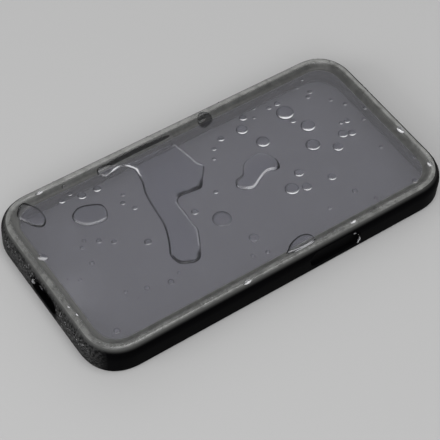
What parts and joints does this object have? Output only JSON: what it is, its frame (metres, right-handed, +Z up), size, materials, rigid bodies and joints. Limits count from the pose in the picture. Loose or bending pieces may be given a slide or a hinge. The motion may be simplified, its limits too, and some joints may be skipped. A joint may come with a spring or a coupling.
{
  "type": "phone weather cover",
  "caption": "Slip-on moulded weather cover: smoke-tinted window inside a raised rounded rim, side walls, open lipped back, port slot and key recesses.",
  "frame": {"origin": "middle of the cover's outline on the plane of its open back, the lowest plane", "axes": "+X along the length, away from the end with the port slot; +Y across, away from the wall with the single key recess; +Z up, out of the window"},
  "size_m": [0.1544, 0.079, 0.0114],
  "materials": {
    "smoke_tpu": "smoke-tinted translucent thermoplastic polyurethane, moulded glossy",
    "water": "clear standing water drops"
  },
  "bodies": {
    "root": {"weather_cover": "smoke_tpu"}
  },
  "joints": []
}
